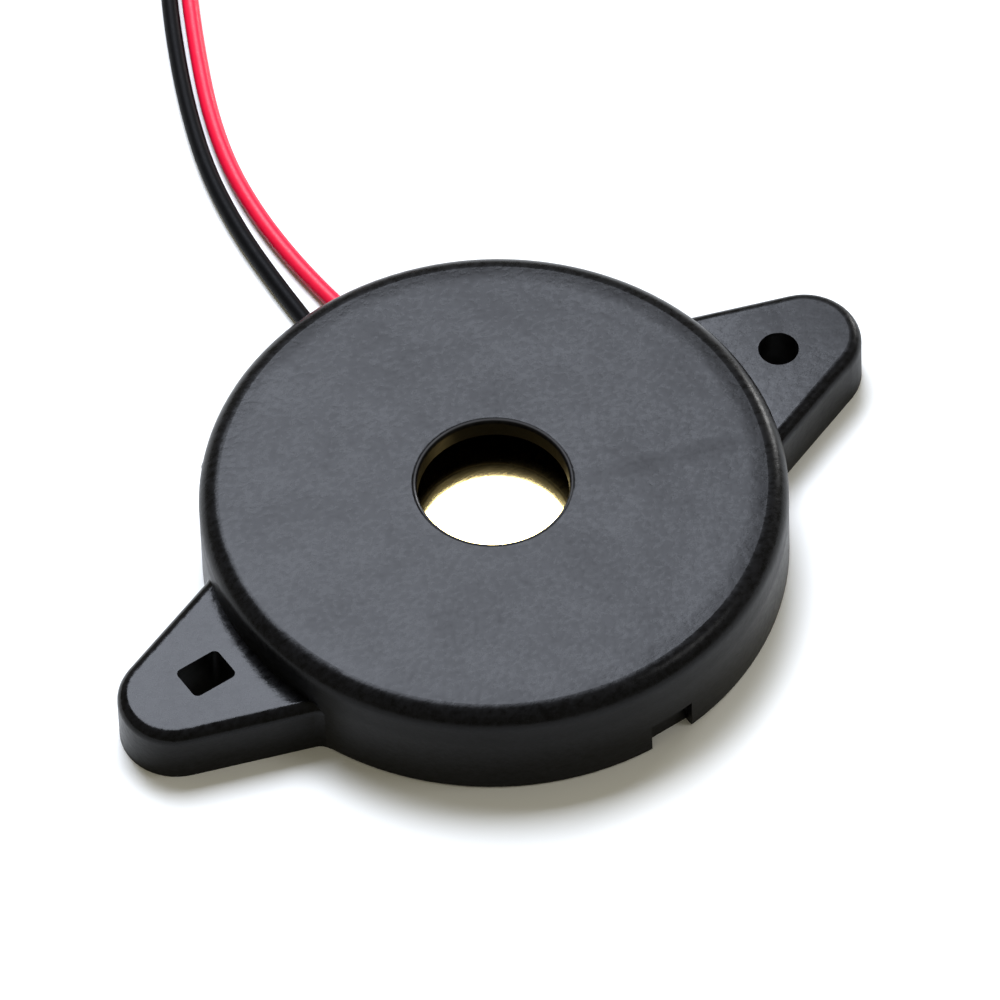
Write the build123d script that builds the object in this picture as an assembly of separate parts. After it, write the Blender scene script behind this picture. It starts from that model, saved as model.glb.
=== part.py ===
from build123d import *
import math
import os

# Millimetres, +Z up. The case stands on z = 0 with the middle of its round body at the origin.
# The lugs lie along X, with the round hole at +X, and the leads leave at +Y.

# Case body
case_radius = 15.0
case_height = 5.65
case_wall = 1.3
top_thickness = 1.15
top_edge_radius = 1.05
foot_chamfer = 0.1
draft_angle = 0.6

# Sound hole in the top plate
sound_hole_radius = 3.87
sound_hole_rounding = 0.28

# Mounting lugs
lug_reach = 22.43
lug_height = 3.25
lug_tip_radius = 2.97
lug_side_angle = 19.9
lug_edge_radius = 0.65
lug_blend_radius = 0.9
blend_bite = 0.03
round_hole_distance = 17.8
round_hole_radius = 1.05
slot_distance = 17.6
slot_length = 2.5
slot_width = 1.95
slot_corner_radius = 0.32

# Notches in the foot of the wall: a blind one in front, one right through for the leads
front_notch_width = 2.5
front_notch_offset = 0.43
front_notch_height = 1.9
front_notch_depth = 0.65
lead_notch_width = 4.0
lead_notch_offset = 1.1
lead_notch_height = 1.9

# Gate stub left on the wall by the mould
gate_angle = 131.0
gate_width = 1.1
gate_height = 0.8
gate_middle_height = 2.6
gate_reach = 0.3

# Sounding disc and its seat
air_gap = 1.3
ledge_width = 1.4
plate_clearance = 0.2
plate_thickness = 0.3
bare_brass_width = 3.65
ceramic_thickness = 0.24
electrode_margin = 0.75
electrode_thickness = 0.03
bead_width = 1.2
bead_depth = 0.8
bead_hollow = 0.36

# Solder joints, with the heading and fall of the bare conductor that leaves each of them
solder_radius = 1.05
solder_height = 0.75
red_joint_inset = 3.0
red_joint_angle = 66.5
red_bare_heading = 88.5
black_joint_angle = 128.0
black_bare_heading = 22.0
bare_depth = 0.32
bare_fall = 12.0
bare_length = 2.2

# Leads
lead_diameter = 0.9
conductor_diameter = 0.4
lead_start_run = 2.3
tip_length = 4.5

# Coil of the stored length, wound clockwise from where the leads run into it
coil_side = 17.1
coil_beyond_wall = 31.88
coil_entry_angle = 153.0
coil_middle_radius = 5.2
coil_pitch = 0.92
coil_levels = 3
coil_step_start = 248.0
coil_step_end = 308.0
coil_run_in = 3.0
red_coil_end = 190.0
black_coil_end = 44.0
tie_thickness = 0.2
tie_width = 1.5
tie_angle = 20.0

# Derived places
bore_radius = case_radius - case_wall
top_underside = case_height - top_thickness
plate_top = top_underside - air_gap
plate_underside = plate_top - plate_thickness
ceramic_underside = plate_underside - ceramic_thickness
electrode_underside = ceramic_underside - electrode_thickness
plate_radius = bore_radius - plate_clearance
ceramic_radius = plate_radius - bare_brass_width
electrode_radius = ceramic_radius - electrode_margin
red_joint_distance = electrode_radius - red_joint_inset
lug_tip_centre = lug_reach - lug_tip_radius
black_joint_distance = (ceramic_radius + bore_radius - bead_width) / 2
lead_radius = lead_diameter / 2
coil_level_0 = tie_thickness + coil_pitch / 2
red_coil_radius = coil_middle_radius - coil_pitch / 2
black_coil_radius = coil_middle_radius + coil_pitch / 2
coil_centre = (coil_side, case_radius + coil_beyond_wall)


def revolved(points_and_arcs):
    """Solid of revolution about Z of a closed section drawn in the XZ plane."""
    with BuildPart() as made:
        with BuildSketch(Plane.XZ):
            with BuildLine():
                for edge in points_and_arcs:
                    add(edge)
            make_face()
        revolve(axis=Axis.Z)
    return made.part


def case_cup():
    """Top plate, wall and inner ledge, turned from one section."""
    draft = math.tan(math.radians(draft_angle))
    shoulder = case_height - top_edge_radius
    radius_at_shoulder = case_radius - shoulder * draft
    lip = sound_hole_rounding
    half = math.sqrt(0.5)
    foot = (case_radius - foot_chamfer, 0)
    foot_top = (case_radius - foot_chamfer * draft, foot_chamfer)
    wall_top = (radius_at_shoulder, shoulder)
    rim = (radius_at_shoulder - top_edge_radius, case_height)
    rim_middle = (rim[0] + top_edge_radius * half, shoulder + top_edge_radius * half)
    lip_outside = (sound_hole_radius + lip, case_height)
    lip_middle = (sound_hole_radius + lip * (1 - half), case_height - lip * (1 - half))
    lip_inside = (sound_hole_radius, case_height - lip)
    hole_foot = (sound_hole_radius, top_underside)
    roof_corner = (bore_radius - ledge_width, top_underside)
    ledge_inside = (bore_radius - ledge_width, plate_top)
    ledge_outside = (bore_radius, plate_top)
    bore_foot = (bore_radius, 0)
    section = [
        Line(bore_foot, foot),
        Line(foot, foot_top),
        Line(foot_top, wall_top),
        ThreePointArc(wall_top, rim_middle, rim),
        Line(rim, lip_outside),
        ThreePointArc(lip_outside, lip_middle, lip_inside),
        Line(lip_inside, hole_foot),
        Line(hole_foot, roof_corner),
        Line(roof_corner, ledge_inside),
        Line(ledge_inside, ledge_outside),
        Line(ledge_outside, bore_foot),
    ]
    return revolved(section)


def lug_outline_half():
    """Points of one side of the +X lug: wall, blend middle, blend end and tip tangent point."""
    side = math.radians(lug_side_angle)
    normal = Vector(math.sin(side), math.cos(side))
    along = Vector(-math.cos(side), math.sin(side))
    tangent_point = Vector(lug_tip_centre, 0) + normal * lug_tip_radius
    wall_circle = case_radius - blend_bite
    start = tangent_point + normal * lug_blend_radius
    reach = wall_circle + lug_blend_radius
    towards = start.dot(along)
    run = -towards - math.sqrt(towards**2 - start.dot(start) + reach**2)
    centre = start + along * run
    blend_end = centre - normal * lug_blend_radius
    wall_point = centre * (wall_circle / reach)
    middle_way = ((blend_end - centre) + (wall_point - centre)).normalized()
    blend_middle = centre + middle_way * lug_blend_radius
    return wall_point, blend_middle, blend_end, tangent_point


def lug():
    """The +X lug: straight sides tangent to a round tip, hollow blends to the wall, rounded top edge."""
    wall_point, blend_middle, blend_end, tangent_point = lug_outline_half()
    mirrored = [Vector(p.X, -p.Y) for p in (wall_point, blend_middle, blend_end, tangent_point)]
    tip = Vector(lug_reach, 0)
    with BuildPart() as made:
        with BuildSketch():
            with BuildLine():
                Line((0, 0), mirrored[0])
                ThreePointArc(mirrored[0], mirrored[1], mirrored[2])
                Line(mirrored[2], mirrored[3])
                ThreePointArc(mirrored[3], tip, tangent_point)
                Line(tangent_point, blend_end)
                ThreePointArc(blend_end, blend_middle, wall_point)
                Line(wall_point, (0, 0))
            make_face()
        extrude(amount=lug_height, taper=draft_angle)
        top_edges = made.edges().group_by(Axis.Z)[-1]
        outside = [e for e in top_edges if e.center().length > case_radius - case_wall]
        fillet(outside, radius=lug_edge_radius)
    return made.part


def case():
    """The one black moulding: cup, two lugs and their holes, the two notches and the gate stub."""
    core = Cylinder(case_radius - case_wall / 2, lug_height * 2)
    right_lug = lug() - core
    left_lug = right_lug.rotate(Axis.Z, 180)
    body = case_cup() + right_lug + left_lug + gate_stub()
    round_hole = Pos(round_hole_distance, 0, 0) * Cylinder(round_hole_radius, lug_height * 3)
    slot_face = RectangleRounded(slot_length, slot_width, slot_corner_radius)
    slot = Pos(-slot_distance, 0, 0) * extrude(slot_face, amount=lug_height * 2, both=True)
    front = Box(front_notch_width, 2 * front_notch_depth, 2 * front_notch_height)
    front = Pos(front_notch_offset, -case_radius, 0) * front
    back = Box(lead_notch_width, 4 * case_wall, 2 * lead_notch_height)
    back = Pos(lead_notch_offset, case_radius, 0) * back
    return body - round_hole - slot - front - back


def gate_stub():
    """Short stub where the mould's gate was broken off the wall."""
    depth = gate_reach + case_wall / 2
    out = case_radius + gate_reach - depth / 2
    stub = Pos(out, 0, gate_middle_height) * Box(depth, gate_width, gate_height)
    return stub.rotate(Axis.Z, gate_angle)


def disc(radius, thickness, top):
    """Flat round disc hanging down from the given height."""
    return Pos(0, 0, top - thickness / 2) * Cylinder(radius, thickness)


def adhesive_ring():
    """Bead of silicone in the corner between the plate's underside and the bore, hollow in section."""
    corner = (bore_radius, plate_underside)
    inside = (bore_radius - bead_width, plate_underside)
    foot = (bore_radius, plate_underside - bead_depth)
    middle = (bore_radius - bead_hollow * bead_width, plate_underside - bead_hollow * bead_depth)
    return revolved([Line(corner, inside), ThreePointArc(inside, middle, foot), Line(foot, corner)])


def joint_and_lead_start(distance, angle, surface, heading):
    """Points of a bare conductor in its solder joint, at the lead's end, and on the lead's first run."""
    place = math.radians(angle)
    course = math.radians(heading)
    fall = math.radians(bare_fall)
    way = Vector(
        math.cos(course) * math.cos(fall),
        math.sin(course) * math.cos(fall),
        -math.sin(fall),
    )
    in_joint = Vector(distance * math.cos(place), distance * math.sin(place), surface - bare_depth)
    lead_end = in_joint + way * bare_length
    return in_joint, lead_end, lead_end + way * lead_start_run


def coil_entry(radius):
    """Last two points of a lead's route: the straight run into its coil, and the coil's start."""
    entry = math.radians(coil_entry_angle)
    start = Vector(
        coil_centre[0] + radius * math.cos(entry),
        coil_centre[1] + radius * math.sin(entry),
        coil_level_0,
    )
    return start - Vector(math.sin(entry), -math.cos(entry)) * coil_run_in, start


# Free stretch of each lead, from inside the case to the coil: (x, y beyond the wall, z)
red_free_points = [
    (2.45, -2.2, 1.0),
    (2.28, 0.4, 0.66),
    (2.08, 3.2, 0.45),
    (1.95, 6.4, 0.45),
    (2.12, 9.9, 0.45),
    (2.72, 13.5, 0.45),
    (3.98, 17.3, 0.45),
    (5.75, 21.1, 0.45),
    (7.5, 24.5, 0.46),
    (9.45, 28.0, 0.51),
]
black_free_points = [
    (-1.4, -3.3, 1.3),
    (-0.4, -1.7, 0.95),
    (0.0, 0.2, 0.68),
    (0.2, 2.4, 0.46),
    (0.36, 5.6, 0.45),
    (0.72, 9.6, 0.45),
    (1.6, 13.9, 0.45),
    (3.1, 18.0, 0.45),
    (4.9, 21.9, 0.45),
    (6.65, 25.2, 0.46),
    (8.6, 28.6, 0.51),
]


def route(start, free_points, coil_radius):
    """Whole route of a lead, from its stripped end to its coil."""
    free = [Vector(x, case_radius + beyond, z) for x, beyond, z in free_points]
    return [*start[1:], *free, *coil_entry(coil_radius)]


def corner_radii(points):
    """Arc radius at each corner: 0.45 of the shorter run over the tangent of half the turn."""
    radii = []
    for before, here, after in zip(points, points[1:], points[2:]):
        run_in = here - before
        run_out = after - here
        half_turn = math.radians(run_in.get_angle(run_out)) / 2
        radii.append(0.45 * min(run_in.length, run_out.length) / math.tan(half_turn))
    return radii


def lead_tube(name, points):
    """Insulated lead as straight runs joined by tangent arcs, swept with a round section."""
    radii = corner_radii(points)
    path = FilletPolyline(*points, radius=radii)
    section = Plane(origin=path @ 0, z_dir=path % 0) * Circle(lead_radius)
    tube = sweep(section, path=path)
    expected = math.pi * lead_radius**2 * path.length
    print(name, "length", round(path.length, 2), "volume ratio", round(tube.volume / expected, 4))
    print(name, "corner radii", [round(r, 2) for r in radii], "least", round(min(radii), 2))
    return tube


def bare_end(start):
    """Stripped conductor from the middle of its solder joint to the lead's end."""
    in_joint, lead_end = start[:2]
    place = Plane(origin=in_joint, z_dir=lead_end - in_joint)
    return place * Pos(0, 0, bare_length / 2) * Cylinder(conductor_diameter / 2, bare_length)


def solder_joint(start, surface, bare):
    """Low dome of solder that hangs under its surface and holds the conductor's end."""
    ball_radius = (solder_radius**2 + solder_height**2) / (2 * solder_height)
    ball = Pos(0, 0, ball_radius - solder_height) * Sphere(ball_radius)
    dome = ball & Pos(0, 0, -solder_height) * Box(*[2 * ball_radius] * 2, 2 * solder_height)
    in_joint = start[0]
    return Pos(in_joint.X, in_joint.Y, surface) * dome - bare


def coil_sector(inner, outer, low, high, turned_from, turned_to):
    """Ring sector about the coil's centre, between two turns of the winding in degrees."""
    span = turned_to - turned_from
    with BuildPart() as made:
        with BuildSketch(Plane.XZ):
            with Locations(((inner + outer) / 2, (low + high) / 2)):
                Rectangle(outer - inner, high - low)
        revolve(axis=Axis.Z, revolution_arc=span)
    turned = made.part.rotate(Axis.Z, coil_entry_angle - turned_to)
    return Pos(coil_centre[0], coil_centre[1], 0) * turned


def coil_ring(radius, end_angle):
    """Outer shape of one lead's turns, three levels high, open where the leads come in and stop."""
    inner = radius - coil_pitch / 2
    outer = radius + coil_pitch / 2
    bottoms = [tie_thickness + level * coil_pitch for level in range(coil_levels + 1)]
    first = coil_sector(inner, outer, bottoms[0], bottoms[1], 0, coil_step_end)
    middle = coil_sector(inner, outer, bottoms[1], bottoms[-2], 0, 360)
    last = coil_sector(inner, outer, bottoms[-2], bottoms[-1], coil_step_start - 360, end_angle)
    return first + middle + last


def free_tip(radius, end_angle):
    """Stripped end of a lead, which follows its turn on top of the coil."""
    top_middle = coil_level_0 + (coil_levels - 1) * coil_pitch
    span = math.degrees(tip_length / radius)
    with BuildPart() as made:
        with BuildSketch(Plane.XZ):
            with Locations((radius, top_middle)):
                Circle(conductor_diameter / 2)
        revolve(axis=Axis.Z, revolution_arc=span)
    turned = made.part.rotate(Axis.Z, coil_entry_angle - end_angle - span)
    return Pos(coil_centre[0], coil_centre[1], 0) * turned


def coil_tie():
    """Narrow band round all the turns, just past the entry."""
    inner = coil_middle_radius - coil_pitch
    outer = coil_middle_radius + coil_pitch
    top = tie_thickness + coil_levels * coil_pitch
    half_span = math.degrees(tie_width / coil_middle_radius) / 2
    ends = (tie_angle - half_span, tie_angle + half_span)
    wall = tie_thickness
    around = coil_sector(inner - wall, outer + wall, 0, top + wall, *ends)
    return around - coil_sector(inner, outer, wall, top, ends[0] - 1, ends[1] + 1)


def build_nodes():
    """Every node of the part, by name."""
    red_start = joint_and_lead_start(
        red_joint_distance, red_joint_angle, electrode_underside, red_bare_heading
    )
    black_start = joint_and_lead_start(
        black_joint_distance, black_joint_angle, plate_underside, black_bare_heading
    )
    red_bare = bare_end(red_start)
    black_bare = bare_end(black_start)
    red_points = route(red_start, red_free_points, red_coil_radius)
    black_points = route(black_start, black_free_points, black_coil_radius)
    return {
        "case": case(),
        "brass_plate": disc(plate_radius, plate_thickness, plate_top),
        "piezo_ceramic": disc(ceramic_radius, ceramic_thickness, plate_underside),
        "silver_electrode": disc(electrode_radius, electrode_thickness, ceramic_underside),
        "adhesive_ring": adhesive_ring(),
        "red_inner_end": red_bare,
        "black_inner_end": black_bare,
        "red_solder": solder_joint(red_start, electrode_underside, red_bare),
        "black_solder": solder_joint(black_start, plate_underside, black_bare),
        "red_lead": lead_tube("red_lead", red_points),
        "black_lead": lead_tube("black_lead", black_points),
        "red_coil": coil_ring(red_coil_radius, red_coil_end),
        "black_coil": coil_ring(black_coil_radius, black_coil_end),
        "red_tip": free_tip(red_coil_radius, red_coil_end),
        "black_tip": free_tip(black_coil_radius, black_coil_end),
        "coil_tie": coil_tie(),
    }


os.makedirs("parts", exist_ok=True)
for name, solid in build_nodes().items():
    export_step(solid, f"parts/{name}.step")
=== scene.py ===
import math

import bpy
import numpy as np
from mathutils import Matrix, Vector


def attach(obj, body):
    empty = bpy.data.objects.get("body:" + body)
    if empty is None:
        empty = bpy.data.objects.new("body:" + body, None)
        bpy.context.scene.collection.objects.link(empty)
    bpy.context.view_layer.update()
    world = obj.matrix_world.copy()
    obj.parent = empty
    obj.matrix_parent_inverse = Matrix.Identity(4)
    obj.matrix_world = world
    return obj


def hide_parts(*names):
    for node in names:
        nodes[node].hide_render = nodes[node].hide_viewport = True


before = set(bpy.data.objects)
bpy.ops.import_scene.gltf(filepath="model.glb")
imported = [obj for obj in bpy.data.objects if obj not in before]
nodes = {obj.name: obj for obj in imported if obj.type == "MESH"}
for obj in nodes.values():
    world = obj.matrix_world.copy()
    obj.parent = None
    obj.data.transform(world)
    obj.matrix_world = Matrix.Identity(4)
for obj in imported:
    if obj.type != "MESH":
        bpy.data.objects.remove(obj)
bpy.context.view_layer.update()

# Lengths below are in millimetres unless they say metres. mm turns one into Blender's metres.
mm = 0.001

# Camera, fitted to the outlines of the case in the picture
camera_lens = 325.2
camera_distance = 463.13
camera_elevation = 52.829
camera_roll = -1.959
camera_aim = (0.305, 3.086, 0.0)
part_turn = 33.252

# Leads: insulation, and the seven tinned strands inside it
lead_diameter = 0.9
strand_diameter = 0.133
strand_lay = 5.0
strand_step = 0.12
strand_sides = 10
outer_strands = 6
tip_length = 4.5
tip_samples = 40

# Case, and the marks of moulding on it
case_radius = 15.0
above_lugs = 3.8
lug_top = 3.3
lug_root = 14.0
lug_tip = 21.0
weld_line_angle = -18.0
weld_line_offset = 1.32
weld_line_core = 0.1
weld_line_edge = 0.8
weld_line_start = 3.0
weld_line_full = 7.0
# Painted highlight: a thin pale grey ring in the base colour on the lip of the sound hole stands in for the
# light line along the lip's rounding
highlight_ring_radius = 4.0
highlight_ring_core = 0.02
highlight_ring_edge = 0.06
crown_start = 12.9
crown_end = 14.8
crown_fall = 0.08
cloud_size = 3.5
sink_depth = 0.04
coarse_grain_size = 0.8
grain_size = 0.28
grain_depth = 0.009

# Bare conductors inside the case: from the middle of the solder joint to the lead's end
red_bare = [(2.432, 5.594, 2.31), (2.489, 7.745, 1.853)]
black_bare = [(-6.88, 8.806, 2.58), (-4.885, 9.612, 2.123)]

# Route of each lead, from its stripped end to its coil: (x, y beyond the wall, z)
red_route = [
    (2.489, -7.255, 1.853),
    (2.548, -5.006, 1.374),
    (2.45, -2.2, 1.0),
    (2.28, 0.4, 0.66),
    (2.08, 3.2, 0.45),
    (1.95, 6.4, 0.45),
    (2.12, 9.9, 0.45),
    (2.72, 13.5, 0.45),
    (3.98, 17.3, 0.45),
    (5.75, 21.1, 0.45),
    (7.5, 24.5, 0.46),
    (9.45, 28.0, 0.51),
]
black_route = [
    (-4.885, -5.388, 2.123),
    (-2.799, -4.545, 1.644),
    (-1.4, -3.3, 1.3),
    (-0.4, -1.7, 0.95),
    (0.0, 0.2, 0.68),
    (0.2, 2.4, 0.46),
    (0.36, 5.6, 0.45),
    (0.72, 9.6, 0.45),
    (1.6, 13.9, 0.45),
    (3.1, 18.0, 0.45),
    (4.9, 21.9, 0.45),
    (6.65, 25.2, 0.46),
    (8.6, 28.6, 0.51),
]

# Coil of the stored length, wound clockwise on three levels
coil_centre = (17.1, case_radius + 31.88)
coil_entry_angle = 153.0
red_coil_radius = 4.74
black_coil_radius = 5.66
coil_pitch = 0.92
coil_level_0 = 0.66
coil_levels = 3
coil_step_start = 248.0
coil_step_end = 308.0
coil_run_in = 3.0
red_coil_end = 190.0
black_coil_end = 44.0
coil_point_step = 10.0


# Leads

def coil_points(radius, end_angle):
    """Run-in and turns of one lead: a circle walked clockwise, which climbs one level in each turn.

    The angle from the entry grows by equal steps. The height is the level plus a smooth step between the
    two climbing angles, 3u^2 - 2u^3 with u from 0 to 1.
    """
    last = (coil_levels - 1) * 360 + end_angle
    turned = np.linspace(0, last, round(last / coil_point_step) + 1)
    climb = np.clip((turned % 360 - coil_step_start) / (coil_step_end - coil_step_start), 0, 1)
    level = turned // 360 + climb**2 * (3 - 2 * climb)
    outside = radius / math.cos(math.radians(coil_point_step / 2))
    angle = np.radians(coil_entry_angle - turned)
    x = coil_centre[0] + outside * np.cos(angle)
    y = coil_centre[1] + outside * np.sin(angle)
    z = coil_level_0 + coil_pitch * np.minimum(level, coil_levels - 1)
    turns = np.stack([x, y, z], axis=1)
    entry = math.radians(coil_entry_angle)
    run_in = turns[0] - coil_run_in * np.array([math.sin(entry), -math.cos(entry), 0])
    return np.vstack([run_in, turns])


def lead_curve(name, route, radius, end_angle):
    """One insulated lead: a round bevel on a NURBS spline, with its route and its coil as control points."""
    free = np.array(route) + (0, case_radius, 0)
    points = np.vstack([free, coil_points(radius, end_angle)]) * mm
    curve = bpy.data.curves.new(name, "CURVE")
    curve.dimensions = "3D"
    curve.bevel_depth = 1.0
    curve.bevel_resolution = 6
    curve.use_fill_caps = True
    curve.resolution_u = 6
    spline = curve.splines.new("NURBS")
    spline.points.add(len(points) - 1)
    spline.points.foreach_set("co", np.column_stack([points, np.ones(len(points))]).ravel())
    spline.points.foreach_set("radius", np.full(len(points), lead_diameter / 2 * mm))
    spline.order_u = 3
    spline.use_endpoint_u = True
    lead = bpy.data.objects.new(name, curve)
    bpy.context.scene.collection.objects.link(lead)
    return lead


# Stranded conductors

def across(path):
    """Two unit directions square to a path and to each other, the first as near to up as it can be."""
    along = np.gradient(path, axis=0)
    along /= np.linalg.norm(along, axis=1, keepdims=True)
    up = np.array([0.0, 0.0, 1.0])
    rise = up - along * (along @ up)[:, None]
    rise /= np.linalg.norm(rise, axis=1, keepdims=True)
    return rise, np.cross(along, rise)


def strand(path, offset, start_angle, lay):
    """Vertices of one round strand that winds round a path.

    Its centre stands off the path by the offset, at an angle that grows by a full turn for each lay length.
    A ring of points at the strand's radius goes round that centre at every sample.
    """
    step = np.linalg.norm(np.diff(path, axis=0), axis=1)
    travelled = np.concatenate([[0], np.cumsum(step)])
    rise, side = across(path)
    angle = (start_angle + 2 * np.pi * travelled / lay)[:, None]
    centre = path + offset * (rise * np.cos(angle) + side * np.sin(angle))
    rise, side = across(centre)
    around = np.arange(strand_sides) * 2 * np.pi / strand_sides
    radius = strand_diameter / 2
    ring = rise[:, None, :] * np.cos(around)[:, None] + side[:, None, :] * np.sin(around)[:, None]
    return centre[:, None, :] + radius * ring


def grid_faces(rows, columns):
    """Quads between neighbouring rings, closed round the ring, and one cap polygon at each end."""
    row, column = np.meshgrid(np.arange(rows - 1), np.arange(columns), indexing="ij")
    following = (column + 1) % columns
    quads = np.stack([
        row * columns + column,
        row * columns + following,
        (row + 1) * columns + following,
        (row + 1) * columns + column,
    ], axis=-1).reshape(-1, 4)
    first = np.arange(columns)[::-1]
    last = (rows - 1) * columns + np.arange(columns)
    return [*quads.tolist(), first.tolist(), last.tolist()]


def strand_bundle(name, ends):
    """Seven twisted strands, one in the middle and six round it, along a path given in millimetres."""
    path = np.array(ends, float)
    length = np.linalg.norm(np.diff(path, axis=0), axis=1).sum()
    count = round(length / strand_step) + 1
    share = np.linspace(0, 1, len(path))
    along = np.linspace(0, 1, count)
    path = np.stack([np.interp(along, share, path[:, axis]) for axis in range(3)], axis=1)
    places = [(0.0, 0.0)]
    places += [(strand_diameter, turn * 2 * math.pi / outer_strands) for turn in range(outer_strands)]
    vertices = np.stack([strand(path, offset, angle, strand_lay) for offset, angle in places])
    one = grid_faces(count, strand_sides)
    starts = range(0, len(places) * count * strand_sides, count * strand_sides)
    faces = [[corner + start for corner in face] for start in starts for face in one]
    mesh = bpy.data.meshes.new(name)
    mesh.from_pydata((vertices.reshape(-1, 3) * mm).tolist(), [], faces)
    mesh.shade_smooth()
    bundle = bpy.data.objects.new(name, mesh)
    bpy.context.scene.collection.objects.link(bundle)
    return bundle


def tip_path(radius, end_angle):
    """Path of a stripped end, which follows its turn on top of the coil: an arc about the coil's centre."""
    span = math.degrees(tip_length / radius)
    angle = np.radians(coil_entry_angle - end_angle - np.linspace(0, span, tip_samples))
    x = coil_centre[0] + radius * np.cos(angle)
    y = coil_centre[1] + radius * np.sin(angle)
    z = np.full(len(angle), coil_level_0 + (coil_levels - 1) * coil_pitch)
    return np.stack([x, y, z], axis=1)


# Materials

def from_srgb(hex_colour):
    """Linear colour of an sRGB hex value: below 0.04045 it is divided by 12.92, above it a power of 2.4."""
    coded = [int(hex_colour[start:start + 2], 16) / 255 for start in (0, 2, 4)]
    linear = [part / 12.92 if part <= 0.04045 else ((part + 0.055) / 1.055) ** 2.4 for part in coded]
    return (*linear, 1.0)


def pattern_scale(size):
    """Scale of a Noise or Voronoi node whose blotches are to be about this many millimetres across."""
    return 1 / (size * mm)


def add_node(material, kind, settings=None, **inputs):
    """Adds one shader node with its properties, and for each socket a value or another node's output.

    A socket is named with _ for a space, or by its number as i0, i1 and so on.
    """
    made = material.node_tree.nodes.new(kind)
    for name, value in (settings or {}).items():
        setattr(made, name, value)
    for name, value in inputs.items():
        key = int(name[1:]) if name[0] == "i" and name[1:].isdigit() else name.replace("_", " ")
        socket = made.inputs[key]
        if isinstance(value, bpy.types.NodeSocket):
            material.node_tree.links.new(value, socket)
        else:
            socket.default_value = value
    return made


def new_material(name):
    """A material without nodes."""
    material = bpy.data.materials.new(name)
    material.use_nodes = True
    material.node_tree.nodes.clear()
    return material


def object_place(material):
    """The point that is shaded, in the part's own frame."""
    return add_node(material, "ShaderNodeTexCoord").outputs["Object"]


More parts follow.
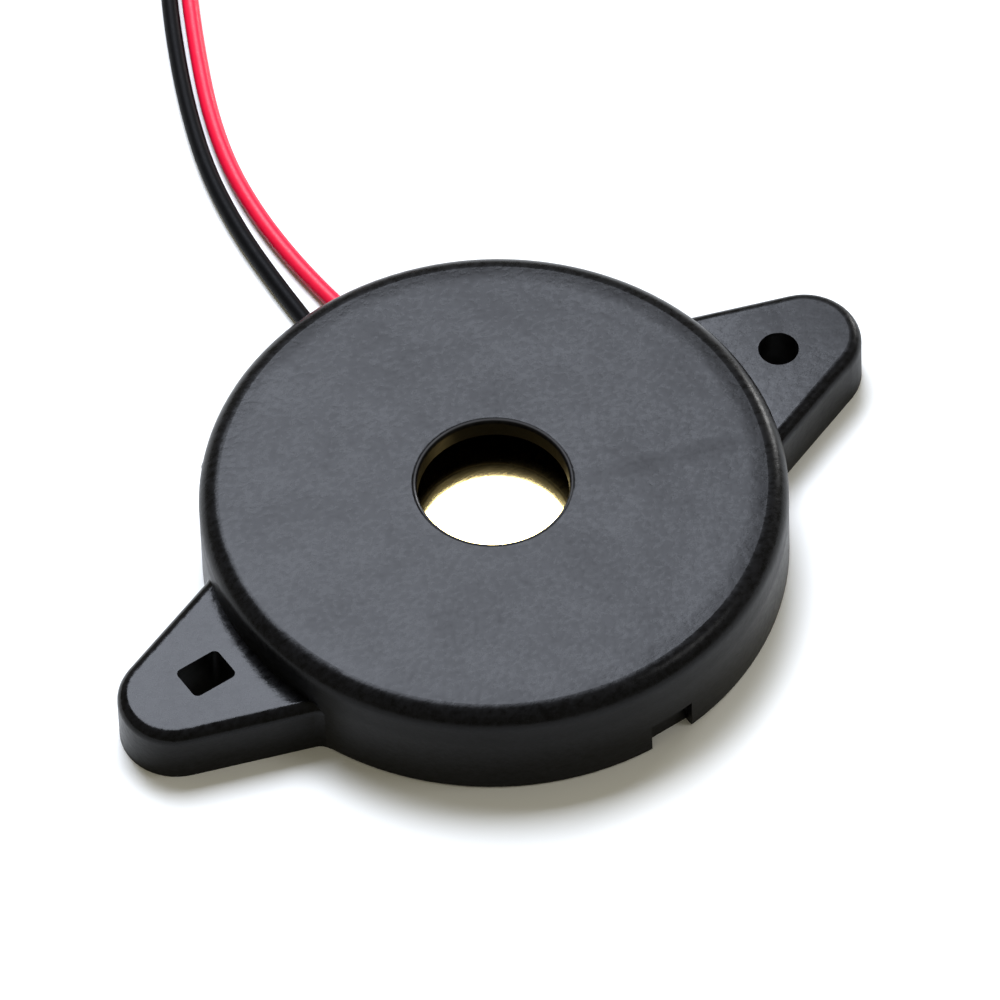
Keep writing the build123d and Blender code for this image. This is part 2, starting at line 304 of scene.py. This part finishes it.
def moulded_abs():
    """Black ABS, injection moulded in a fine spark-eroded mould.

    The grain breaks the gloss into a low-contrast mottle with a few bright specks, over slow clouds of more
    and less gloss. The real grain is about 0.03 mm and is drawn at 0.28 mm, so that it shows. The mould was
    polished more at the -X lug, which is glossier, and less at the tip of the +X lug, which is duller. A dull
    weld line runs from the sound hole to the rim. A thin pale grey ring in the base colour on the lip of the
    hole is a painted highlight, the light line along the lip's rounding. Side walls are rougher, because the
    mould drags along them. The bump holds the grain, shallow sinks as wide as the clouds, and a smooth fall
    of the top towards its rim.
    """
    material = new_material("spark_eroded_black_abs")
    place = object_place(material)
    axes = add_node(material, "ShaderNodeSeparateXYZ", Vector=place)
    laid = add_node(
        material, "ShaderNodeMapping", Vector=place,
        Rotation=(0, 0, math.radians(part_turn)), Scale=(0.7, 1.0, 1.0),
    )
    grain = add_node(
        material, "ShaderNodeTexNoise", Vector=laid.outputs[0],
        Scale=pattern_scale(grain_size), Detail=2.0, Roughness=0.6,
    )
    coarse = add_node(
        material, "ShaderNodeTexNoise", Vector=laid.outputs[0],
        Scale=pattern_scale(coarse_grain_size), Detail=2.0, Roughness=0.5,
    )
    cloud = add_node(
        material, "ShaderNodeTexNoise", Vector=place,
        Scale=pattern_scale(cloud_size), Detail=3.0, Roughness=0.55,
    )

    gloss = add_node(
        material, "ShaderNodeMapRange", Value=cloud.outputs[0],
        From_Min=0.3, From_Max=0.7, To_Min=0.16, To_Max=0.21,
    )
    on_lug = add_node(
        material, "ShaderNodeMapRange", Value=axes.outputs["Z"],
        From_Min=above_lugs * mm, From_Max=lug_top * mm, To_Min=0.0, To_Max=1.0,
    )
    lug_polish = add_node(
        material, "ShaderNodeMapRange", Value=axes.outputs["X"],
        From_Min=lug_root * mm, From_Max=lug_tip * mm, To_Min=-0.1, To_Max=0.06,
    )
    polished = add_node(
        material, "ShaderNodeMath", {"operation": "MULTIPLY_ADD"},
        i0=on_lug.outputs[0], i1=lug_polish.outputs[0], i2=gloss.outputs[0],
    )
    weld_axes = add_node(
        material, "ShaderNodeMapping", Vector=place, Location=(0, weld_line_offset * mm, 0),
        Rotation=(0, 0, math.radians(-weld_line_angle)),
    )
    weld_place = add_node(material, "ShaderNodeSeparateXYZ", Vector=weld_axes.outputs[0])
    weld_offset = add_node(
        material, "ShaderNodeMath", {"operation": "ABSOLUTE"}, i0=weld_place.outputs["Y"],
    )
    weld_width = add_node(
        material, "ShaderNodeMapRange", Value=weld_offset.outputs[0],
        From_Min=weld_line_core * mm, From_Max=weld_line_edge * mm, To_Min=0.045, To_Max=0.0,
    )
    weld_reach = add_node(
        material, "ShaderNodeMapRange", Value=weld_place.outputs["X"],
        From_Min=weld_line_start * mm, From_Max=weld_line_full * mm, To_Min=0.0, To_Max=1.0,
    )
    roughness = add_node(
        material, "ShaderNodeMath", {"operation": "MULTIPLY_ADD"},
        i0=weld_width.outputs[0], i1=weld_reach.outputs[0], i2=polished.outputs[0],
    )
    geometry = add_node(material, "ShaderNodeNewGeometry")
    facing = add_node(material, "ShaderNodeSeparateXYZ", Vector=geometry.outputs["Normal"])
    level_face = add_node(material, "ShaderNodeMath", {"operation": "ABSOLUTE"}, i0=facing.outputs["Z"])
    sidewall = add_node(
        material, "ShaderNodeMapRange", Value=level_face.outputs[0],
        From_Min=0.0, From_Max=0.5, To_Min=0.16, To_Max=0.0,
    )
    drafted = add_node(
        material, "ShaderNodeMath", {"operation": "ADD"}, i0=roughness.outputs[0], i1=sidewall.outputs[0],
    )
    mottled = add_node(
        material, "ShaderNodeMath", {"operation": "MULTIPLY_ADD"},
        i0=grain.outputs[0], i1=0.2, i2=drafted.outputs[0],
    )

    speckle = add_node(
        material, "ShaderNodeMapRange", Value=grain.outputs[0],
        From_Min=0.3, From_Max=0.7, To_Min=0.0, To_Max=1.0,
    )
    tone = add_node(
        material, "ShaderNodeMix", {"data_type": "RGBA"},
        i0=speckle.outputs[0], i6=from_srgb("050506"), i7=from_srgb("131315"),
    )
    level = add_node(material, "ShaderNodeCombineXYZ", X=axes.outputs["X"], Y=axes.outputs["Y"])
    from_middle = add_node(material, "ShaderNodeVectorMath", {"operation": "LENGTH"}, i0=level.outputs[0])
    # Painted highlight: the base colour turns pale grey in a thin ring on the lip of the sound hole
    highlight_ring_offset = add_node(
        material, "ShaderNodeMath", {"operation": "SUBTRACT"},
        i0=from_middle.outputs["Value"], i1=highlight_ring_radius * mm,
    )
    highlight_ring_distance = add_node(material, "ShaderNodeMath", {"operation": "ABSOLUTE"}, i0=highlight_ring_offset.outputs[0])
    painted_highlight = add_node(
        material, "ShaderNodeMapRange", Value=highlight_ring_distance.outputs[0],
        From_Min=highlight_ring_core * mm, From_Max=highlight_ring_edge * mm, To_Min=1.0, To_Max=0.0,
    )
    tone_with_highlight = add_node(
        material, "ShaderNodeMix", {"data_type": "RGBA"},
        i0=painted_highlight.outputs[0], i6=tone.outputs[2], i7=from_srgb("48484a"),
    )

    relief = add_node(
        material, "ShaderNodeMath", {"operation": "MULTIPLY_ADD"},
        i0=coarse.outputs[0], i1=0.6, i2=grain.outputs[0],
    )
    crown = add_node(
        material, "ShaderNodeMapRange", {"interpolation_type": "SMOOTHSTEP"},
        Value=from_middle.outputs["Value"],
        From_Min=crown_start * mm, From_Max=crown_end * mm, To_Min=0.0, To_Max=1.0,
    )
    uneven = add_node(
        material, "ShaderNodeMath", {"operation": "MULTIPLY_ADD"},
        i0=cloud.outputs[0], i1=sink_depth / grain_depth, i2=relief.outputs[0],
    )
    height = add_node(
        material, "ShaderNodeMath", {"operation": "MULTIPLY_ADD"},
        i0=crown.outputs[0], i1=-crown_fall / grain_depth, i2=uneven.outputs[0],
    )
    bump = add_node(
        material, "ShaderNodeBump", Strength=1.0, Distance=grain_depth * mm, Height=height.outputs[0],
    )
    shader = add_node(
        material, "ShaderNodeBsdfPrincipled",
        Base_Color=tone_with_highlight.outputs[2], Roughness=mottled.outputs[0], IOR=1.54, Specular_IOR_Level=0.11,
        Normal=bump.outputs[0],
    )
    add_node(material, "ShaderNodeOutputMaterial", Surface=shader.outputs[0])
    return material


def rolled_brass():
    """Half-hard brass strip, bright rolled and blanked.

    It mirrors the light with a soft edge, faint rolling lines along X, and small brown specks of tarnish
    about 0.14 mm across.
    """
    material = new_material("rolled_brass")
    place = object_place(material)
    drawn = add_node(material, "ShaderNodeMapping", Vector=place, Scale=(0.06, 1.0, 1.0))
    lines = add_node(
        material, "ShaderNodeTexNoise", Vector=drawn.outputs[0],
        Scale=pattern_scale(0.1), Detail=3.0, Roughness=0.6,
    )
    specks = add_node(
        material, "ShaderNodeTexNoise", Vector=place, Scale=pattern_scale(0.14), Detail=2.0, Roughness=0.7,
    )
    tarnish = add_node(
        material, "ShaderNodeMapRange", Value=specks.outputs[0],
        From_Min=0.6, From_Max=0.74, To_Min=0.0, To_Max=0.8,
    )
    tone = add_node(
        material, "ShaderNodeMix", {"data_type": "RGBA"},
        i0=tarnish.outputs[0], i6=from_srgb("e6cb87"), i7=from_srgb("8a6f3c"),
    )
    gloss = add_node(
        material, "ShaderNodeMapRange", Value=lines.outputs[0],
        From_Min=0.3, From_Max=0.7, To_Min=0.09, To_Max=0.13,
    )
    bump = add_node(material, "ShaderNodeBump", Strength=1.0, Distance=0.0006 * mm, Height=lines.outputs[0])
    shader = add_node(
        material, "ShaderNodeBsdfPrincipled",
        Base_Color=tone.outputs[2], Metallic=1.0, Roughness=gloss.outputs[0], Normal=bump.outputs[0],
    )
    add_node(material, "ShaderNodeOutputMaterial", Surface=shader.outputs[0])
    return material


def fired_ceramic():
    """Lead zirconate titanate ceramic, pressed, fired and lapped: matt buff with faint darker clouds.

    The real pores are too fine to show and are drawn at 0.2 mm.
    """
    material = new_material("fired_piezo_ceramic")
    place = object_place(material)
    cloud = add_node(
        material, "ShaderNodeTexNoise", Vector=place, Scale=pattern_scale(1.8), Detail=4.0, Roughness=0.6,
    )
    pores = add_node(
        material, "ShaderNodeTexNoise", Vector=place, Scale=pattern_scale(0.2), Detail=2.0, Roughness=0.6,
    )
    tone = add_node(
        material, "ShaderNodeMix", {"data_type": "RGBA"},
        i0=cloud.outputs[0], i6=from_srgb("a89c84"), i7=from_srgb("c6bba6"),
    )
    bump = add_node(material, "ShaderNodeBump", Strength=1.0, Distance=0.008 * mm, Height=pores.outputs[0])
    shader = add_node(
        material, "ShaderNodeBsdfPrincipled",
        Base_Color=tone.outputs[2], Roughness=0.65, Normal=bump.outputs[0],
    )
    add_node(material, "ShaderNodeOutputMaterial", Surface=shader.outputs[0])
    return material


def fired_silver():
    """Silver paste, screen printed and fired: satin, with the weave of the screen and cloudy yellowing.

    The real weave is about 0.2 mm. A Wave node turns 20 radians for each unit of its place, so it is drawn
    2 pi times as coarse, at 1.3 mm.
    """
    material = new_material("fired_silver_paste")
    place = object_place(material)
    cloud = add_node(
        material, "ShaderNodeTexNoise", Vector=place, Scale=pattern_scale(2.5), Detail=4.0, Roughness=0.6,
    )
    weave_scale = pattern_scale(0.2) / 20
    across_x = add_node(
        material, "ShaderNodeTexWave", {"bands_direction": "X"},
        Vector=place, Scale=weave_scale, Distortion=1.0, Detail=1.0,
    )
    across_y = add_node(
        material, "ShaderNodeTexWave", {"bands_direction": "Y"},
        Vector=place, Scale=weave_scale, Distortion=1.0, Detail=1.0,
    )
    weave = add_node(
        material, "ShaderNodeMath", {"operation": "ADD"},
        i0=across_x.outputs["Fac"], i1=across_y.outputs["Fac"],
    )
    tone = add_node(
        material, "ShaderNodeMix", {"data_type": "RGBA"},
        i0=cloud.outputs[0], i6=from_srgb("cfc8b4"), i7=from_srgb("e6e4de"),
    )
    bump = add_node(material, "ShaderNodeBump", Strength=1.0, Distance=0.003 * mm, Height=weave.outputs[0])
    shader = add_node(
        material, "ShaderNodeBsdfPrincipled",
        Base_Color=tone.outputs[2], Metallic=1.0, Roughness=0.38, Normal=bump.outputs[0],
    )
    add_node(material, "ShaderNodeOutputMaterial", Surface=shader.outputs[0])
    return material


def cured_silicone():
    """Silicone laid as a bead and left to cure: milky, a little glossy, with swells from the nozzle."""
    material = new_material("cured_silicone_bead")
    place = object_place(material)
    swell = add_node(
        material, "ShaderNodeTexNoise", Vector=place, Scale=pattern_scale(1.4), Detail=1.0, Roughness=0.4,
    )
    tone = add_node(
        material, "ShaderNodeMix", {"data_type": "RGBA"},
        i0=swell.outputs[0], i6=from_srgb("cfd0ca"), i7=from_srgb("e4e4df"),
    )
    bump = add_node(material, "ShaderNodeBump", Strength=1.0, Distance=0.15 * mm, Height=swell.outputs[0])
    shader = add_node(
        material, "ShaderNodeBsdfPrincipled",
        Base_Color=tone.outputs[2], Roughness=0.33, IOR=1.41,
        Subsurface_Weight=0.25, Subsurface_Scale=0.5 * mm, Normal=bump.outputs[0],
    )
    add_node(material, "ShaderNodeOutputMaterial", Surface=shader.outputs[0])
    return material


def bright_solder():
    """Tin-silver solder, melted by hand: bright, with a frost of 0.2 mm crystals and shallow dimples."""
    material = new_material("frosted_bright_solder")
    place = object_place(material)
    frost = add_node(material, "ShaderNodeTexVoronoi", Vector=place, Scale=pattern_scale(0.2))
    dimple = add_node(material, "ShaderNodeTexNoise", Vector=place, Scale=pattern_scale(0.8), Detail=1.0)
    gloss = add_node(
        material, "ShaderNodeMapRange", Value=frost.outputs["Distance"],
        From_Min=0.0, From_Max=0.8, To_Min=0.16, To_Max=0.34,
    )
    relief = add_node(
        material, "ShaderNodeMath", {"operation": "MULTIPLY_ADD"},
        i0=dimple.outputs[0], i1=12.0, i2=frost.outputs["Distance"],
    )
    tone = add_node(
        material, "ShaderNodeMix", {"data_type": "RGBA"},
        i0=frost.outputs["Distance"], i6=from_srgb("cdccc8"), i7=from_srgb("b4b3af"),
    )
    bump = add_node(material, "ShaderNodeBump", Strength=1.0, Distance=0.006 * mm, Height=relief.outputs[0])
    shader = add_node(
        material, "ShaderNodeBsdfPrincipled",
        Base_Color=tone.outputs[2], Metallic=1.0, Roughness=gloss.outputs[0], Normal=bump.outputs[0],
    )
    add_node(material, "ShaderNodeOutputMaterial", Surface=shader.outputs[0])
    return material


def tinned_copper():
    """Copper strands drawn and dipped in tin: grey-white metal, with thin spots where copper shows."""
    material = new_material("tinned_copper_strand")
    place = object_place(material)
    thin = add_node(
        material, "ShaderNodeTexNoise", Vector=place, Scale=pattern_scale(0.3), Detail=2.0, Roughness=0.6,
    )
    worn = add_node(
        material, "ShaderNodeMapRange", Value=thin.outputs[0],
        From_Min=0.58, From_Max=0.75, To_Min=0.0, To_Max=0.6,
    )
    tone = add_node(
        material, "ShaderNodeMix", {"data_type": "RGBA"},
        i0=worn.outputs[0], i6=from_srgb("cbcac6"), i7=from_srgb("c69374"),
    )
    bump = add_node(material, "ShaderNodeBump", Strength=1.0, Distance=0.002 * mm, Height=thin.outputs[0])
    shader = add_node(
        material, "ShaderNodeBsdfPrincipled",
        Base_Color=tone.outputs[2], Metallic=1.0, Roughness=0.28, Normal=bump.outputs[0],
    )
    add_node(material, "ShaderNodeOutputMaterial", Surface=shader.outputs[0])
    return material


def extruded_pvc(name, light, dark, roughness, specular):
    """Soft PVC insulation, extruded: satin and nearly even in colour.

    It has slow swells from the die, about 0.7 mm long, and fine scuffs from handling, about 0.15 mm across.
    """
    material = new_material(name)
    place = object_place(material)
    swell = add_node(material, "ShaderNodeTexNoise", Vector=place, Scale=pattern_scale(0.7), Detail=1.0)
    scuff = add_node(
        material, "ShaderNodeTexNoise", Vector=place, Scale=pattern_scale(0.15), Detail=3.0, Roughness=0.6,
    )
    tone = add_node(
        material, "ShaderNodeMix", {"data_type": "RGBA"},
        i0=scuff.outputs[0], i6=from_srgb(dark), i7=from_srgb(light),
    )
    gloss = add_node(
        material, "ShaderNodeMapRange", Value=scuff.outputs[0],
        From_Min=0.35, From_Max=0.65, To_Min=roughness - 0.05, To_Max=roughness + 0.05,
    )
    bump = add_node(material, "ShaderNodeBump", Strength=1.0, Distance=0.02 * mm, Height=swell.outputs[0])
    shader = add_node(
        material, "ShaderNodeBsdfPrincipled",
        Base_Color=tone.outputs[2], Roughness=gloss.outputs[0], IOR=1.53, Specular_IOR_Level=specular,
        Normal=bump.outputs[0],
    )
    add_node(material, "ShaderNodeOutputMaterial", Surface=shader.outputs[0])
    return material


def natural_nylon():
    """Natural nylon, moulded as a thin band: milky off-white and satin, uneven at about 0.25 mm."""
    material = new_material("natural_nylon_band")
    place = object_place(material)
    marks = add_node(
        material, "ShaderNodeTexNoise", Vector=place, Scale=pattern_scale(0.25), Detail=2.0, Roughness=0.5,
    )
    tone = add_node(
        material, "ShaderNodeMix", {"data_type": "RGBA"},
        i0=marks.outputs[0], i6=from_srgb("d6d4cb"), i7=from_srgb("e9e7e0"),
    )
    bump = add_node(material, "ShaderNodeBump", Strength=1.0, Distance=0.008 * mm, Height=marks.outputs[0])
    shader = add_node(
        material, "ShaderNodeBsdfPrincipled",
        Base_Color=tone.outputs[2], Roughness=0.4, IOR=1.53,
        Subsurface_Weight=0.2, Subsurface_Scale=0.3 * mm, Normal=bump.outputs[0],
    )
    add_node(material, "ShaderNodeOutputMaterial", Surface=shader.outputs[0])
    return material


# Pieces

red_lead = lead_curve("red_lead_wire", red_route, red_coil_radius, red_coil_end)
black_lead = lead_curve("black_lead_wire", black_route, black_coil_radius, black_coil_end)
red_tip = strand_bundle("red_tip_strands", tip_path(red_coil_radius, red_coil_end))
black_tip = strand_bundle("black_tip_strands", tip_path(black_coil_radius, black_coil_end))
red_inner = strand_bundle("red_inner_strands", red_bare)
black_inner = strand_bundle("black_inner_strands", black_bare)

red_pvc = extruded_pvc("red_pvc_insulation", light="f8103f", dark="e80c38", roughness=0.42, specular=0.3)
black_pvc = extruded_pvc("black_pvc_insulation", light="0c0c0e", dark="08080a", roughness=0.5, specular=0.06)
tinned = tinned_copper()
solder = bright_solder()

new_pieces = [
    (red_lead, ("red_lead", "red_coil"), "red_pvc", red_pvc),
    (black_lead, ("black_lead", "black_coil"), "black_pvc", black_pvc),
    (red_tip, ("red_tip",), "tinned_copper", tinned),
    (black_tip, ("black_tip",), "tinned_copper", tinned),
    (red_inner, ("red_inner_end",), "tinned_copper", tinned),
    (black_inner, ("black_inner_end",), "tinned_copper", tinned),
]
for piece, replaced, slot, material in new_pieces:
    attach(piece, "root")
    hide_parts(*replaced)
    piece.data.materials.append(material)

finish_of = {
    "case": moulded_abs(),
    "brass_plate": rolled_brass(),
    "piezo_ceramic": fired_ceramic(),
    "silver_electrode": fired_silver(),
    "adhesive_ring": cured_silicone(),
    "red_solder": solder,
    "black_solder": solder,
    "coil_tie": natural_nylon(),
}
for name, material in finish_of.items():
    for place in nodes[name].material_slots:
        place.material = material


# Stage

def white_table():
    """Matt white table: light grey where it lights the part, white where it is seen, mirrored or refracted.

    The white is a little over 1, so that the lit table clips to an even white round the part's shadow.
    """
    material = new_material("matt_white_table")
    lit = add_node(material, "ShaderNodeBsdfDiffuse", Color=(0.38, 0.38, 0.38, 1))
    seen = add_node(material, "ShaderNodeBsdfDiffuse", Color=(1.02, 1.02, 1.0, 1))
    path = add_node(material, "ShaderNodeLightPath")
    mirrored = add_node(
        material, "ShaderNodeMath", {"operation": "MAXIMUM"},
        i0=path.outputs["Is Glossy Ray"], i1=path.outputs["Is Transmission Ray"],
    )
    share = add_node(
        material, "ShaderNodeMath", {"operation": "MAXIMUM"},
        i0=mirrored.outputs[0], i1=path.outputs["Is Camera Ray"],
    )
    both = add_node(
        material, "ShaderNodeMixShader", i0=share.outputs[0], i1=lit.outputs[0], i2=seen.outputs[0],
    )
    add_node(material, "ShaderNodeOutputMaterial", Surface=both.outputs[0])
    return material


# The floor reaches 2 metres from the middle to each side.
floor_mesh = bpy.data.meshes.new("floor")
reach = 2.0
corners = [(-reach, -reach, 0), (reach, -reach, 0), (reach, reach, 0), (-reach, reach, 0)]
floor_mesh.from_pydata(corners, [], [(0, 1, 2, 3)])
floor_mesh.materials.append(white_table())
floor = bpy.data.objects.new("floor", floor_mesh)
bpy.context.scene.collection.objects.link(floor)

camera = bpy.data.objects.new("camera", bpy.data.cameras.new("camera"))
bpy.context.scene.collection.objects.link(camera)
camera.data.lens = camera_lens
camera.data.clip_start = 0.01
camera.data.clip_end = 10
camera.matrix_world = (
    Matrix.Rotation(math.radians(-part_turn), 4, "Z")
    @ Matrix.Translation([length * mm for length in camera_aim])
    @ Matrix.Rotation(math.radians(90 - camera_elevation), 4, "X")
    @ Matrix.Translation((0, 0, camera_distance * mm))
    @ Matrix.Rotation(math.radians(camera_roll), 4, "Z")
)
bpy.context.scene.camera = camera


def softbox(name, size, distance, azimuth, elevation, radiance, colour=(1, 1, 1)):
    """Square area lamp that faces the part, with its size and distance in metres.

    Directions are as the camera sees them: azimuth 0 is behind the part, 90 is on its right. The power is
    the radiance times pi times the area.
    """
    lamp = bpy.data.lights.new(name, "AREA")
    lamp.shape = "SQUARE"
    lamp.size = size
    lamp.energy = radiance * math.pi * size**2
    lamp.color = colour
    made = bpy.data.objects.new(name, lamp)
    bpy.context.scene.collection.objects.link(made)
    turn = math.radians(azimuth + part_turn)
    rise = math.radians(elevation)
    direction = Vector((math.sin(turn) * math.cos(rise), math.cos(turn) * math.cos(rise), math.sin(rise)))
    made.location = direction * distance
    made.rotation_euler = direction.to_track_quat("Z", "Y").to_euler()


softbox("key", size=0.25, distance=0.5, azimuth=-13, elevation=60, radiance=16.8, colour=(0.92, 0.98, 1.12))
softbox("rim_light", size=0.1, distance=0.5, azimuth=40, elevation=12, radiance=24.0)
softbox("side_light", size=0.12, distance=0.5, azimuth=97, elevation=52, radiance=4.5)

world = bpy.data.worlds.new("studio")
bpy.context.scene.world = world
world.use_nodes = True
background = world.node_tree.nodes["Background"]
background.inputs["Color"].default_value = (1.0, 0.94, 0.72, 1)
background.inputs["Strength"].default_value = 0.28

bpy.context.scene.view_settings.view_transform = "Standard"

bpy.context.view_layer.update()
